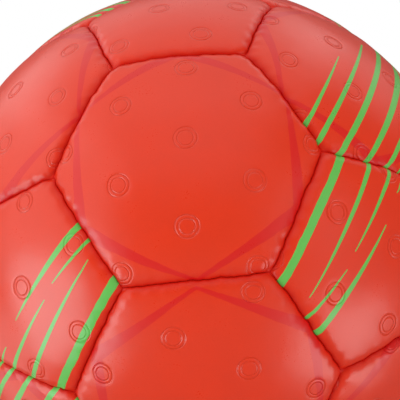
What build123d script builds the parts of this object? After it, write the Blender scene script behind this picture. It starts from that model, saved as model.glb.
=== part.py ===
"""Hand-stitched handball: a cover of hexagon and pentagon panels round a bladder with its valve.

The frame has its origin at the centre of the ball and +Z up. The panels lie as the faces of a
truncated icosahedron with seams across the X, Y and Z axes, and the valve is in the hexagon at the
back, on +Y and a little above the middle. Sizes are in millimetres, and angles in radians unless an
operation takes degrees.
"""

import os
from itertools import combinations, product
from math import asin, atan, cos, degrees, pi, sin, sqrt, tan

from build123d import *

# Ball
ball_diameter = 188.0  # over the crowns of two opposite panels
seam_drop = 1.1  # how far a panel's crown falls from its centre to the middle of a seam

# Panels: a cover of coated foam, its edges turned into the seams, and a cloth lining behind it
cover_thickness = 3.4
lining_thickness = 1.2
turned_edge_thickness = 2.4
fold_radius = 1.8  # fold of the cover where it turns into a seam
fold_ease = 0.05  # how far the fold stands out, so that it meets crown and side at a light crease
seam_gap = 0.16  # between the turned edges of two neighbours
layer_clearance = 0.06  # between a layer and the next one inwards

# Seam thread, in a channel between the turned edges
thread_diameter = 0.9
thread_inset = 0.85  # from the inner end of a turned edge to the thread's axis
thread_clearance = 0.03
thread_end_gap = 2.2  # along the seam, from a panel's corner to the end of the thread

# Bladder
bladder_thickness = 1.3

# Valve: a housing bonded inside the bladder, and a plug that closes round the inflating needle
neck_diameter = 8.4
neck_recess = 0.5  # from the panel's crown down to the top of the neck
neck_clearance = 0.08
neck_chamfer = 0.5
flange_diameter = 26.0
flange_thickness = 1.4
stem_diameter = 10.4
stem_length = 13.0  # inwards from the flange
stem_taper_length = 7.0
stem_end_diameter = 8.0
plug_diameter = 4.8
plug_waist_diameter = 3.6
plug_waist_length = 5.0
plug_clearance = 0.04
needle_bore_diameter = 1.9
needle_funnel_diameter = 3.0
needle_funnel_depth = 0.9

# Radii of the layers, from the outside in
ball_radius = ball_diameter / 2
seam_radius = ball_radius - seam_drop
cover_inner_radius = ball_radius - cover_thickness
casing_inner_radius = cover_inner_radius - lining_thickness
bladder_radius = casing_inner_radius - layer_clearance
bladder_inner_radius = bladder_radius - bladder_thickness
thread_path_radius = casing_inner_radius + thread_inset

# Truncated icosahedron: the corners of all panels lie on one sphere
golden = (1 + sqrt(5)) / 2
corner_radius_per_edge = sqrt(58 + 18 * sqrt(5)) / 4
half_seam_angle = asin(0.5 / corner_radius_per_edge)
thread_reach = half_seam_angle - thread_end_gap / ball_radius
poles_aside = (90, 0, 0)  # turns a sphere's poles and its joining line away from a panel on +Z


def signed(size_a, size_b):
    """Both numbers with each choice of signs."""
    return [(a * size_a, b * size_b) for a, b in product((1, -1), repeat=2)]


def rolled(x, y, z):
    """A direction and its two cyclic turns of axes."""
    return [Vector(x, y, z).normalized(), Vector(z, x, y).normalized(), Vector(y, z, x).normalized()]


valve_axis = Vector(0, golden, 1 / golden).normalized()
pentagon_axes = [axis for a, b in signed(1, golden) for axis in rolled(0, a, b)]
hexagon_axes = [axis for a, b in signed(golden, 1 / golden) for axis in rolled(0, a, b)]
hexagon_axes += [Vector(*signs).normalized() for signs in product((1, -1), repeat=3)]
plain_hexagon_axes = [axis for axis in hexagon_axes if axis != valve_axis]


def panel_plane(axis, neighbour_axes):
    """Plane through the ball's centre, along a panel's axis, with X towards a seam's middle."""
    nearest = min(neighbour_axes, key=lambda other: other.get_angle(axis))
    return Plane(origin=(0, 0, 0), x_dir=nearest - axis * nearest.dot(axis), z_dir=axis)


def seam_tilt(sides):
    """Angle from a panel's axis to the middle of its seams, seen from the ball's centre."""
    corner = asin(0.5 / sin(pi / sides) / corner_radius_per_edge)
    return atan(tan(corner) * cos(pi / sides))


def seam_planes(sides):
    """Planes of the seams round a panel on +Z: X towards a seam's middle, Z out of the panel."""
    tilt = seam_tilt(sides)
    planes = []
    for side in range(sides):
        turn = 2 * pi * side / sides
        middle = (sin(tilt) * cos(turn), sin(tilt) * sin(turn), cos(tilt))
        outwards = (cos(tilt) * cos(turn), cos(tilt) * sin(turn), -sin(tilt))
        planes.append(Plane(origin=(0, 0, 0), x_dir=middle, z_dir=outwards))
    return planes


def trim_to_seams(sides, inset):
    """Cut the part in hand to the seams round a panel on +Z, set in from their middle."""
    for plane in seam_planes(sides):
        split(bisect_by=plane.offset(-inset), keep=Keep.BOTTOM)


def make_rod(diameter, reach):
    """Round rod along a seam's thread, an arc in the XY plane with its middle on +X."""
    with BuildPart() as rod:
        with BuildSketch(Plane.XZ.rotated((0, 0, -degrees(reach)))):
            with Locations((thread_path_radius, 0)):
                Circle(diameter / 2)
        revolve(axis=Axis.Z, revolution_arc=degrees(2 * reach))
    return rod.part


def make_fold_cut(sides, crown_centre):
    """What the fold takes off along a seam in the XY plane, round the crown's centre at the origin."""
    crown_radius = ball_radius - crown_centre
    side = crown_centre * sin(seam_tilt(sides)) - seam_gap / 2
    reach = degrees(2 * half_seam_angle)
    path_radius = sqrt((crown_radius - fold_radius) ** 2 - (side - fold_radius) ** 2) + fold_ease
    height = side - fold_radius + fold_ease
    with BuildPart() as cut:
        with BuildSketch(Plane.XZ.rotated((0, 0, -reach / 2))):
            with Locations((path_radius, height)):
                Rectangle(2 * fold_radius, 2 * fold_radius, align=(Align.MIN, Align.MIN))
                Circle(fold_radius, mode=Mode.SUBTRACT)
        revolve(axis=Axis.Z, revolution_arc=reach)
    return cut.part


def make_cover(sides):
    """Cover panel on +Z: crowned outside, edges folded into the seams, a pocket for its lining."""
    across = ball_radius - seam_radius * cos(seam_tilt(sides))
    crown_centre = (ball_radius**2 - seam_radius**2) / (2 * across)
    fold_cut = make_fold_cut(sides, crown_centre)
    channel = make_rod(thread_diameter + 2 * thread_clearance, thread_reach + thread_clearance / ball_radius)
    with BuildPart() as pocket:
        Sphere(cover_inner_radius, rotation=poles_aside)
        Sphere(bladder_inner_radius, rotation=poles_aside, mode=Mode.SUBTRACT)
        trim_to_seams(sides, seam_gap / 2 + turned_edge_thickness)
    with BuildPart() as cover:
        with Locations((0, 0, crown_centre)):
            Sphere(ball_radius - crown_centre, rotation=poles_aside)
        Sphere(casing_inner_radius, rotation=poles_aside, mode=Mode.SUBTRACT)
        trim_to_seams(sides, seam_gap / 2)
        for plane in seam_planes(sides):
            fold_plane = Plane(origin=(0, 0, crown_centre), x_dir=plane.x_dir, z_dir=plane.z_dir)
            add(fold_plane.location * fold_cut, mode=Mode.SUBTRACT)
            add(plane.location * channel, mode=Mode.SUBTRACT)
        add(pocket.part, mode=Mode.SUBTRACT)
    return cover.part


def make_lining(sides):
    """Cloth lining of a panel on +Z, seated in the pocket of its cover."""
    with BuildPart() as lining:
        Sphere(cover_inner_radius - layer_clearance, rotation=poles_aside)
        Sphere(casing_inner_radius, rotation=poles_aside, mode=Mode.SUBTRACT)
        trim_to_seams(sides, seam_gap / 2 + turned_edge_thickness + layer_clearance)
    return lining.part


def all_seam_planes():
    """Planes of all the ball's seams, with X towards the middle of the seam."""
    pentagon_spacing = min(one.get_angle(other) for one, other in combinations(pentagon_axes, 2))
    pairs = [(5, one, other) for one, other in product(pentagon_axes, hexagon_axes)]
    pairs += [(6, one, other) for one, other in combinations(hexagon_axes, 2)]
    planes = []
    for sides, one, other in pairs:
        if one.get_angle(other) < pentagon_spacing:
            turn_axis = one.cross(other)
            middle = one.rotate(Axis((0, 0, 0), turn_axis), degrees(seam_tilt(sides)))
            planes.append(Plane(origin=(0, 0, 0), x_dir=middle, z_dir=middle.cross(turn_axis)))
    return planes


# The valve's own frame, with its section through the axis
valve_plane = panel_plane(valve_axis, pentagon_axes)
valve_section = Plane(origin=(0, 0, 0), x_dir=valve_plane.x_dir, z_dir=valve_plane.x_dir.cross(valve_axis))
valve_line = Axis((0, 0, 0), valve_axis)
neck_top = ball_radius - neck_recess
flange_outer_radius = bladder_inner_radius - layer_clearance
flange_inner_radius = flange_outer_radius - flange_thickness
stem_bottom = flange_inner_radius - stem_length


def plug_outline(swell):
    """Side of the valve's plug from bottom to top, with its waist, swollen to make its socket."""
    wide = plug_diameter / 2 + swell
    narrow = plug_waist_diameter / 2 + swell
    cone = wide - narrow
    waist_middle = (neck_top + stem_bottom) / 2
    waist_low = waist_middle - plug_waist_length / 2
    waist_high = waist_middle + plug_waist_length / 2
    return [
        (wide, stem_bottom),
        (wide, waist_low - cone),
        (narrow, waist_low),
        (narrow, waist_high),
        (wide, waist_high + cone),
        (wide, neck_top),
    ]


def write(part, name):
    """Label a finished piece and write its file."""
    part.label = name
    export_step(part, f"parts/{name}.step")


os.makedirs("parts", exist_ok=True)

# Covers and linings: each panel is one of two shapes, turned onto its own axis
hexagon_cover = make_cover(6)
hexagon_lining = make_lining(6)
hexagon_planes = [panel_plane(axis, pentagon_axes) for axis in plain_hexagon_axes]
for number, plane in enumerate(hexagon_planes, start=1):
    write(plane.location * hexagon_cover, f"hexagon_panel_{number:02d}")
write(Compound([plane.location * hexagon_lining for plane in hexagon_planes]), "hexagon_linings")

pentagon_cover = make_cover(5)
pentagon_lining = make_lining(5)
pentagon_planes = [panel_plane(axis, hexagon_axes) for axis in pentagon_axes]
for number, plane in enumerate(pentagon_planes, start=1):
    write(plane.location * pentagon_cover, f"pentagon_panel_{number:02d}")
write(Compound([plane.location * pentagon_lining for plane in pentagon_planes]), "pentagon_linings")

# Seam threads, one in each seam
seam_thread = make_rod(thread_diameter, thread_reach)
write(Compound([plane.location * seam_thread for plane in all_seam_planes()]), "seam_threads")

# Hole for the valve's neck, through a panel, its lining and the bladder
with BuildPart() as neck_hole:
    with BuildSketch(valve_plane):
        Circle(neck_diameter / 2 + neck_clearance)
    extrude(amount=ball_diameter)

with BuildPart() as valve_panel:
    add(valve_plane.location * hexagon_cover)
    add(neck_hole.part, mode=Mode.SUBTRACT)
write(valve_panel.part, "valve_panel")

with BuildPart() as valve_panel_lining:
    add(valve_plane.location * hexagon_lining)
    add(neck_hole.part, mode=Mode.SUBTRACT)
write(valve_panel_lining.part, "valve_panel_lining")

with BuildPart() as bladder:
    Sphere(bladder_radius)
    Sphere(bladder_inner_radius, mode=Mode.SUBTRACT)
    add(neck_hole.part, mode=Mode.SUBTRACT)
write(bladder.part, "bladder")

# Valve housing: a flange against the inside of the bladder, a neck outwards and a stem inwards
with BuildPart() as valve_housing:
    with BuildSketch(valve_plane):
        Circle(flange_diameter / 2)
    extrude(amount=ball_radius)
    Sphere(flange_outer_radius, mode=Mode.INTERSECT)
    Sphere(flange_inner_radius, mode=Mode.SUBTRACT)
    with BuildSketch(valve_section):
        with BuildLine():
            Polyline(
                (0, stem_bottom),
                (stem_end_diameter / 2, stem_bottom),
                (stem_diameter / 2, stem_bottom + stem_taper_length),
                (stem_diameter / 2, flange_inner_radius),
                (neck_diameter / 2, flange_inner_radius),
                (neck_diameter / 2, neck_top - neck_chamfer),
                (neck_diameter / 2 - neck_chamfer, neck_top),
                (0, neck_top),
                close=True,
            )
        make_face()
    revolve(axis=valve_line)
    with BuildSketch(valve_section):
        with BuildLine():
            Polyline((0, stem_bottom), *plug_outline(plug_clearance), (0, neck_top), close=True)
        make_face()
    revolve(axis=valve_line, mode=Mode.SUBTRACT)
write(valve_housing.part, "valve_housing")

# Valve plug, with a funnel that leads the needle into its bore
with BuildPart() as valve_plug:
    with BuildSketch(valve_section):
        with BuildLine():
            Polyline(
                (needle_bore_diameter / 2, stem_bottom),
                *plug_outline(0),
                (needle_funnel_diameter / 2, neck_top),
                (needle_bore_diameter / 2, neck_top - needle_funnel_depth),
                close=True,
            )
        make_face()
    revolve(axis=valve_line)
write(valve_plug.part, "valve_plug")
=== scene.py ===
import math
from itertools import combinations, product
from typing import NamedTuple

import bpy
import numpy as np
from mathutils import Matrix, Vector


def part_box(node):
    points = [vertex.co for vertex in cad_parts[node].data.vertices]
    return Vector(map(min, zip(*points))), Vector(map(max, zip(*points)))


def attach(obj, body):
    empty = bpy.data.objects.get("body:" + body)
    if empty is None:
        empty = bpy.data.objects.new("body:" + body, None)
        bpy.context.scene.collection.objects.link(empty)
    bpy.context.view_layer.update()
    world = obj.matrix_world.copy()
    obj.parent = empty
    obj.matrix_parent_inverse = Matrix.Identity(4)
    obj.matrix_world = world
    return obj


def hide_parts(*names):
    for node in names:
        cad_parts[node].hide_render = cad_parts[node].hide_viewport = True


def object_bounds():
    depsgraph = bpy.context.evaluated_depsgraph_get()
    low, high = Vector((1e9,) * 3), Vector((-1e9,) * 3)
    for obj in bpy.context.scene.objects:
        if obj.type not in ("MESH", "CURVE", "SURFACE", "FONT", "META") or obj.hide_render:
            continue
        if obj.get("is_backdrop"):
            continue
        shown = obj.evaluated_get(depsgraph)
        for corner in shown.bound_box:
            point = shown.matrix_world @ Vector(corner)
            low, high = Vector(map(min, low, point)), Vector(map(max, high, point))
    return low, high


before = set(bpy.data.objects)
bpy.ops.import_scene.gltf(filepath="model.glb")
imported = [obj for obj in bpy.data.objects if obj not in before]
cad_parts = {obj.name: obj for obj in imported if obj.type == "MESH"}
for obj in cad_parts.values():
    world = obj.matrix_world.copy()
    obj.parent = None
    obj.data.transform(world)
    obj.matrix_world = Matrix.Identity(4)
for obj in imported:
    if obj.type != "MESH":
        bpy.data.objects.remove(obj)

bl_info = {
    "name": "Stitched Handball",
    "version": (1, 0, 0),
    "blender": (4, 5, 0),
    "location": "View3D > Sidebar > Handball",
    "description": "Builds the panels, seams, valve and stage of a hand-stitched handball",
    "category": "Mesh",
}

MM = 0.001
GOLDEN = (1 + math.sqrt(5)) / 2
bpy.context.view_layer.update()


def node_points(name):
    """Every vertex of a CAD node, in metres."""
    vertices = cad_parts[name].data.vertices
    points = np.empty(3 * len(vertices))
    vertices.foreach_get("co", points)
    return points.reshape(-1, 3)


def node_reach(name):
    """Smallest and largest distance of a CAD node's vertices from the middle of the ball."""
    distance = np.linalg.norm(node_points(name), axis=1)
    return float(distance.min()), float(distance.max())


def unit(vector):
    return np.asarray(vector, float) / np.linalg.norm(vector)


def around(shape):
    """The shape's three cyclic turns with every choice of signs, each once, as unit directions."""
    found = []
    for turn in range(3):
        for signs in product((1, -1), repeat=3):
            direction = unit(np.roll(np.multiply(shape, signs), turn))
            if not any(np.allclose(direction, other) for other in found):
                found.append(direction)
    return found


PENTAGON_AXES = around((0, 1, GOLDEN))
HEXAGON_AXES = around((1, 1, 1)) + around((0, GOLDEN, 1 / GOLDEN))
CORNERS = (
    around((0, 1, 3 * GOLDEN))
    + around((1, 2 + GOLDEN, 2 * GOLDEN))
    + around((GOLDEN, 2, GOLDEN**3))
)

INNER_EDGE, BALL_RADIUS = node_reach("hexagon_panel_01")
LINING_INSIDE, LINING_OUTSIDE = node_reach("hexagon_linings")
BLADDER_INSIDE, BLADDER_OUTSIDE = node_reach("bladder")
THREAD_INSIDE, THREAD_OUTSIDE = node_reach("seam_threads")
THREAD_RADIUS = (THREAD_OUTSIDE - THREAD_INSIDE) / 2
THREAD_PATH = (THREAD_INSIDE + THREAD_OUTSIDE) / 2


def same_way(first, second):
    """Whether two unit directions are the axis of the same panel."""
    return float(first @ second) > 0.999


def from_srgb(red, green, blue):
    """A colour given in 0 to 255 as the linear colour a shader takes."""
    def linear(value):
        value /= 255
        return value / 12.92 if value <= 0.04045 else ((value + 0.055) / 1.055) ** 2.4

    return linear(red), linear(green), linear(blue), 1.0


def length(name, description, default):
    return bpy.props.FloatProperty(
        name=name, description=description, default=default, precision=5,
        unit="LENGTH", subtype="DISTANCE",
    )


def factor(name, description, default):
    return bpy.props.FloatProperty(
        name=name, description=description, default=default, subtype="FACTOR"
    )


def colour(name, description, default):
    return bpy.props.FloatVectorProperty(
        name=name, description=description, default=default, size=4,
        min=0.0, max=1.0, subtype="COLOR",
    )


class HandballSizes(bpy.types.PropertyGroup):
    """Sizes of the panels, the seams and the pressed rings."""

    ball_radius: length("Ball Radius", "Middle of the ball to the crown of a panel", BALL_RADIUS)
    crown_drop: length("Crown Drop", "How far the edge of a panel lies under its crown", 0.1 * MM)
    puff_drop: length("Puff Drop", "Extra drop of the padded edge beside a seam", 0.8 * MM)
    puff_reach: length("Puff Reach", "Distance over which the padded edge rises again", 5.0 * MM)
    fold_width: length("Fold Width", "Width of the turned-in fold at the seam", 3.2 * MM)
    fold_depth: length("Fold Depth", "Depth of the turned-in fold at the seam", 1.3 * MM)
    corner_blend: length("Corner Blend", "Distance over which two seams of a corner join", 2.4 * MM)
    seam_gap: length("Seam Gap", "Space between the turned edges of two panels", 0.08 * MM)
    stitch_pitch: length("Stitch Pitch", "Distance from stitch to stitch", 4.7 * MM)
    scallop: factor("Scallop", "Share by which a stitch narrows the fold", 0.11)
    pucker_depth: length("Pucker Depth", "Depth of the pull of each stitch on the panel", 0.055 * MM)
    pucker_reach: length("Pucker Reach", "Distance over which the pull of a stitch fades", 2.2 * MM)
    wrinkle_depth: length("Wrinkle Depth", "Depth of the uneven creases beside a seam", 0.8 * MM)
    wrinkle_width: length("Wrinkle Width", "Distance from crease to crease along a seam", 6.0 * MM)
    wrinkle_reach: length("Wrinkle Reach", "Distance over which the creases fade", 4.5 * MM)
    uneven_depth: length("Unevenness", "Height of the slow waves of the padding", 0.35 * MM)
    uneven_size: length("Unevenness Size", "Length of the slow waves of the padding", 16.0 * MM)
    seam_wander: length("Seam Wander", "How far a seam strays from its true line", 0.5 * MM)
    wander_size: length("Wander Size", "Distance over which a seam strays and returns", 7.0 * MM)
    mark_spacing: length("Mark Spacing", "Distance between the pressed rings of a row", 24.4 * MM)
    mark_rows: length("Mark Rows", "Distance between the rows of pressed rings", 18.4 * MM)
    mark_radius: length("Mark Radius", "Radius of a pressed ring", 3.2 * MM)
    mark_line: length("Mark Line", "Half width of the line of a pressed ring", 0.45 * MM)
    mark_depth: length("Mark Depth", "Depth of a pressed ring", 0.06 * MM)
    thread_radius: length("Thread Radius", "Half the thickness of the seam thread", THREAD_RADIUS)


class HandballColours(bpy.types.PropertyGroup):
    """Colours of the pieces and of the floor."""

    cover_red: colour("Cover Red", "Panels", from_srgb(226, 52, 17))
    band_red: colour("Band Red", "Darker bands on the hexagons", from_srgb(214, 29, 20))
    # Painted shade: the deep red laid on the coating beside every seam stands in for the shade in the seam's
    # fold.
    seam_red: colour("Seam Red", "Coating where it turns into a seam", from_srgb(200, 10, 14))
    stripe_green: colour("Stripe Green", "Printed stripes", from_srgb(100, 184, 80))
    thread_red: colour("Thread Red", "Seam thread", from_srgb(150, 16, 16))
    lining_cloth: colour("Lining Cloth", "Cloth behind the panels", from_srgb(226, 222, 210))
    bladder_rubber: colour("Bladder Rubber", "Bladder", from_srgb(48, 44, 42))
    valve_rubber: colour("Valve Rubber", "Valve", from_srgb(34, 32, 32))
    floor_pale: colour("Floor", "Floor", from_srgb(208, 208, 208))


class Field:
    """A number in a node tree. Arithmetic on it adds Math nodes."""

    def __init__(self, tree, socket):
        self.tree, self.socket = tree, socket

    def math(self, operation, *others):
        node = self.tree.nodes.new("ShaderNodeMath")
        node.operation = operation
        for socket, value in zip(node.inputs, (self, *others)):
            plug(self.tree, value, socket)
        return Field(self.tree, node.outputs[0])

    def __add__(self, other):
        return self.math("ADD", other)

    def __sub__(self, other):
        return self.math("SUBTRACT", other)

    def __rsub__(self, other):
        return self * -1.0 + other

    def __mul__(self, other):
        return self.math("MULTIPLY", other)

    def __truediv__(self, other):
        return self.math("DIVIDE", other)

    __radd__, __rmul__ = __add__, __mul__

    def held(self):
        """Kept between zero and one."""
        return self.math("MAXIMUM", 0.0).math("MINIMUM", 1.0)

    def eased(self):
        """Zero to one with a soft start and end."""
        share = self.held()
        return share * share * (3.0 - share * 2.0)

    def fading(self, reach):
        """One at zero, dying away over the reach."""
        return (self.math("MAXIMUM", 0.0) / reach * -1.0).math("EXPONENT")


def plug(tree, value, socket):
    if isinstance(value, Field):
        value = value.socket
    if isinstance(value, bpy.types.NodeSocket):
        tree.links.new(value, socket)
    else:
        socket.default_value = value


def add_node(tree, kind, settings=None, **sockets):
    """A node with its settings, and its sockets linked or set by name."""
    node = tree.nodes.new(kind)
    for name, value in (settings or {}).items():
        setattr(node, name, value)
    for name, value in sockets.items():
        plug(tree, value, node.inputs[name.replace("_", " ")])
    return node


NOISE_DETAIL = 2.0


def noise(tree, vector, seed):
    """Noise about zero, from minus a half to a half."""
    node = add_node(
        tree, "ShaderNodeTexNoise", {"noise_dimensions": "4D"},
        Vector=vector, W=seed, Scale=1.0, Detail=NOISE_DETAIL,
    )
    return Field(tree, node.outputs[0]) - 0.5


def combine(tree, x, y, z):
    return add_node(tree, "ShaderNodeCombineXYZ", X=x, Y=y, Z=z).outputs[0]


def scaled(tree, vector, share):
    node = add_node(tree, "ShaderNodeVectorMath", {"operation": "SCALE"}, Vector=vector, Scale=share)
    return node.outputs[0]


WANDER_DETAIL, WANDER_ROUGHNESS, WANDER_GAIN = 2.0, 0.8, 4.0


def stray(tree, direction, frequency, amount):
    """The direction moved a little aside, the same way for every piece that lies there."""
    cloud = add_node(
        tree, "ShaderNodeTexNoise", Vector=scaled(tree, direction, frequency),
        Scale=1.0, Detail=WANDER_DETAIL, Roughness=WANDER_ROUGHNESS,
    )
    centred = add_node(tree, "ShaderNodeVectorMath", {"operation": "SUBTRACT"})
    plug(tree, cloud.outputs[1], centred.inputs[0])
    centred.inputs[1].default_value = (0.5, 0.5, 0.5)
    aside = add_node(tree, "ShaderNodeVectorMath", {"operation": "ADD"})
    plug(tree, direction, aside.inputs[0])
    plug(tree, scaled(tree, centred.outputs[0], amount * WANDER_GAIN), aside.inputs[1])
    whole = add_node(tree, "ShaderNodeVectorMath", {"operation": "NORMALIZE"})
    plug(tree, aside.outputs[0], whole.inputs[0])
    return whole.outputs[0]


def geometry_tree(name, numbers):
    """A new Geometry Nodes tree with named number inputs and a material, and its two ends."""
    tree = bpy.data.node_groups.new(name, "GeometryNodeTree")
    tree.interface.new_socket("Geometry", in_out="INPUT", socket_type="NodeSocketGeometry")
    for label in numbers:
        tree.interface.new_socket(label, in_out="INPUT", socket_type="NodeSocketFloat")
    tree.interface.new_socket("Material", in_out="INPUT", socket_type="NodeSocketMaterial")
    tree.interface.new_socket("Geometry", in_out="OUTPUT", socket_type="NodeSocketGeometry")
    return tree, tree.nodes.new("NodeGroupInput"), tree.nodes.new("NodeGroupOutput")


def close_tree(tree, given, result, geometry):
    """The end of every tree: real geometry, smooth, with its material."""
    real = add_node(tree, "GeometryNodeRealizeInstances", Geometry=geometry)
    smooth = add_node(tree, "GeometryNodeSetShadeSmooth", Geometry=real.outputs[0])
    painted = add_node(
        tree, "GeometryNodeSetMaterial", Geometry=smooth.outputs[0], Material=given.outputs["Material"]
    )
    plug(tree, painted.outputs[0], result.inputs[0])


RELIEF_SIZES = (
    "Ball Radius", "Crown Drop", "Puff Drop", "Puff Reach", "Fold Width", "Fold Depth", "Corner Blend",
    "Stitch Pitch", "Scallop", "Pucker Depth", "Pucker Reach", "Wrinkle Depth", "Wrinkle Width",
    "Wrinkle Reach", "Seam Wander", "Wander Size", "Unevenness", "Unevenness Size",
    "Mark Radius", "Mark Line", "Mark Depth",
)
CREASE_STRETCH = 0.4  # creases run across the seam, so the noise is drawn out that way
SIDE_APART = 7.3  # step in the noise from side to side of a panel
WAVE_SEED = 40.0
PUFF_CREASE, FOLD_CREASE = 0.8, 0.5  # how much a crease changes the padded edge and the fold
FOLD_TURN = 0.985  # just under a full quarter round


def relief_tree():
    """Lifts a panel's directions to its padded, stitched skin, and its hidden faces to their level."""
    tree, given, result = geometry_tree("panel_relief", RELIEF_SIZES + ("Apothem", "Seed"))

    def size(label):
        return Field(tree, given.outputs[label])

    def attribute(label):
        node = add_node(tree, "GeometryNodeInputNamedAttribute", {"data_type": "FLOAT"}, Name=label)
        return Field(tree, node.outputs["Attribute"])

    seam, next_seam, along, side = (attribute(name) for name in ("seam", "next_seam", "along", "side"))
    level, mark = attribute("level"), attribute("mark")
    # Two seams join in a round at a corner, by a smooth minimum of their distances.
    between = next_seam - seam
    overlap = (size("Corner Blend") - between).math("MAXIMUM", 0.0) / size("Corner Blend")
    near = seam - overlap * overlap * size("Corner Blend") * 0.25
    from_corner = (between / size("Corner Blend")).eased()

    crease_place = combine(
        tree, along / size("Wrinkle Width"), near / size("Wrinkle Reach") * CREASE_STRETCH, side * SIDE_APART
    )
    crease = noise(tree, crease_place, size("Seed")) * from_corner
    beat = ((along / size("Stitch Pitch") + crease) * math.tau).math("COSINE")
    place = tree.nodes.new("GeometryNodeInputPosition").outputs[0]
    wave_place = scaled(tree, place, size("Ball Radius") / size("Unevenness Size"))
    wave = noise(tree, wave_place, size("Seed") + WAVE_SEED)

    middle = 1.0 - (near / size("Apothem")).held()
    crown = size("Crown Drop") * middle * middle
    puff = size("Puff Drop") * near.fading(size("Puff Reach")) * (1.0 - crease * PUFF_CREASE)
    fold_width = size("Fold Width") * (1.0 + size("Scallop") * beat + crease * FOLD_CREASE)
    turned = (1.0 - near / fold_width).held()
    fold = size("Fold Depth") * (1.0 - (1.0 - turned * turned * FOLD_TURN).math("SQRT"))
    pull = size("Pucker Depth") * beat * near.fading(size("Pucker Reach"))
    creases = size("Wrinkle Depth") * crease * near.fading(size("Wrinkle Reach"))
    off_line = (mark - size("Mark Radius")) / size("Mark Line")
    ring = size("Mark Depth") * (off_line * off_line * -1.0).math("EXPONENT")
    skin = size("Ball Radius") - crown - puff - fold - pull - creases - ring + wave * size("Unevenness")

    hidden = level.math("GREATER_THAN", 0.0)
    height = level + skin * (1.0 - hidden)
    straying = size("Seam Wander") / size("Ball Radius") * near.fading(size("Wrinkle Reach"))
    strayed = stray(tree, place, size("Ball Radius") / size("Wander Size"), straying)
    moved = add_node(
        tree, "GeometryNodeSetPosition", Geometry=given.outputs["Geometry"],
        Position=scaled(tree, strayed, height),
    )
    close_tree(tree, given, result, moved.outputs[0])
    return tree


STITCH_SIZES = (
    "Thread Radius", "Stitch Length", "Stitches", "Path Radius", "Ball Radius", "Seam Wander", "Wander Size",
)
STITCH_SEGMENTS, STITCH_RINGS = 8, 6


def stitch_tree():
    """A row of plump stitches along every seam."""
    tree, given, result = geometry_tree("seam_stitches", STITCH_SIZES)
    ball, wander = Field(tree, given.outputs["Ball Radius"]), Field(tree, given.outputs["Seam Wander"])
    strayed = stray(
        tree, tree.nodes.new("GeometryNodeInputPosition").outputs[0],
        ball / Field(tree, given.outputs["Wander Size"]), wander / ball,
    )
    seams = add_node(
        tree, "GeometryNodeSetPosition", Geometry=given.outputs["Geometry"],
        Position=scaled(tree, strayed, given.outputs["Path Radius"]),
    )
    paths = add_node(tree, "GeometryNodeMeshToCurve", Mesh=seams.outputs[0])
    points = add_node(
        tree, "GeometryNodeResampleCurve", Curve=paths.outputs[0], Count=given.outputs["Stitches"]
    )
    stitch = add_node(
        tree, "GeometryNodeMeshUVSphere", Segments=STITCH_SEGMENTS, Rings=STITCH_RINGS, Radius=1.0
    )
    turned = add_node(
        tree, "FunctionNodeAlignRotationToVector", {"axis": "Z"},
        Vector=tree.nodes.new("GeometryNodeInputTangent").outputs[0],
    )
    half = Field(tree, given.outputs["Stitch Length"]) * 0.5
    thick = given.outputs["Thread Radius"]
    placed = add_node(
        tree, "GeometryNodeInstanceOnPoints", Points=points.outputs[0], Instance=stitch.outputs["Mesh"],
        Rotation=turned.outputs[0], Scale=combine(tree, thick, thick, half),
    )
    close_tree(tree, given, result, placed.outputs[0])
    return tree


def run_tree(piece, tree, values):
    """The piece's mesh as the tree makes it, as a plain mesh with no modifier left."""
    modifier = piece.modifiers.new(tree.name, "NODES")
    modifier.node_group = tree
    for item in tree.interface.items_tree:
        if item.in_out == "INPUT" and item.name in values:
            modifier[item.identifier] = values[item.name]
    piece.update_tag()
    evaluated = piece.evaluated_get(bpy.context.evaluated_depsgraph_get())
    made = bpy.data.meshes.new_from_object(evaluated)
    piece.modifiers.clear()
    spare, piece.data = piece.data, made
    made.name = piece.name
    bpy.data.meshes.remove(spare)


def new_piece(name, points, triangles):
    """A mesh object at the origin, with its place in its vertices."""
    mesh = bpy.data.meshes.new(name)
    mesh.vertices.add(len(points))
    mesh.vertices.foreach_set("co", np.ravel(points))
    mesh.loops.add(3 * len(triangles))
    mesh.loops.foreach_set("vertex_index", np.ravel(triangles))
    mesh.polygons.add(len(triangles))
    mesh.polygons.foreach_set("loop_start", np.arange(0, 3 * len(triangles), 3))
    mesh.update(calc_edges=True)
    mesh.validate()
    piece = bpy.data.objects.new(name, mesh)
    bpy.context.scene.collection.objects.link(piece)
    return piece


def add_numbers(mesh, name, values):
    attribute = mesh.attributes.new(name, "FLOAT", "POINT")
    attribute.data.foreach_set("value", np.ravel(values).astype(np.float32))


def add_map(mesh, name, places):
    """A UV map from one place for each vertex, in metres."""
    corners = np.empty(len(mesh.loops), np.int32)
    mesh.loops.foreach_get("vertex_index", corners)
    layer = mesh.uv_layers.new(name=name)
    layer.uv.foreach_set("vector", np.ravel(places[corners]).astype(np.float32))


def zip_rings(first, second):
    """Triangles between two rings of vertices that start at the same corner."""
    a, b, made = 0, 0, []
    steps_a, steps_b = (len(ring) if len(ring) > 1 else 0 for ring in (first, second))
    while a < steps_a or b < steps_b:
        next_a = (a + 1) / steps_a if a < steps_a else 2.0
        next_b = (b + 1) / steps_b if b < steps_b else 2.0
        here_a, here_b = first[a % len(first)], second[b % len(second)]
        if next_b <= next_a:
            made.append((here_a, here_b, second[(b + 1) % len(second)]))
            b += 1
        else:
            made.append((here_a, here_b, first[(a + 1) % len(first)]))
            a += 1
    return made


class Ring(NamedTuple):
    """A ring of a panel's mesh: steps on each side, distance from the seam, level, and how round it is."""

    steps: int
    seam: float
    level: float = 0.0
    roundness: float = 0.0


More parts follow.
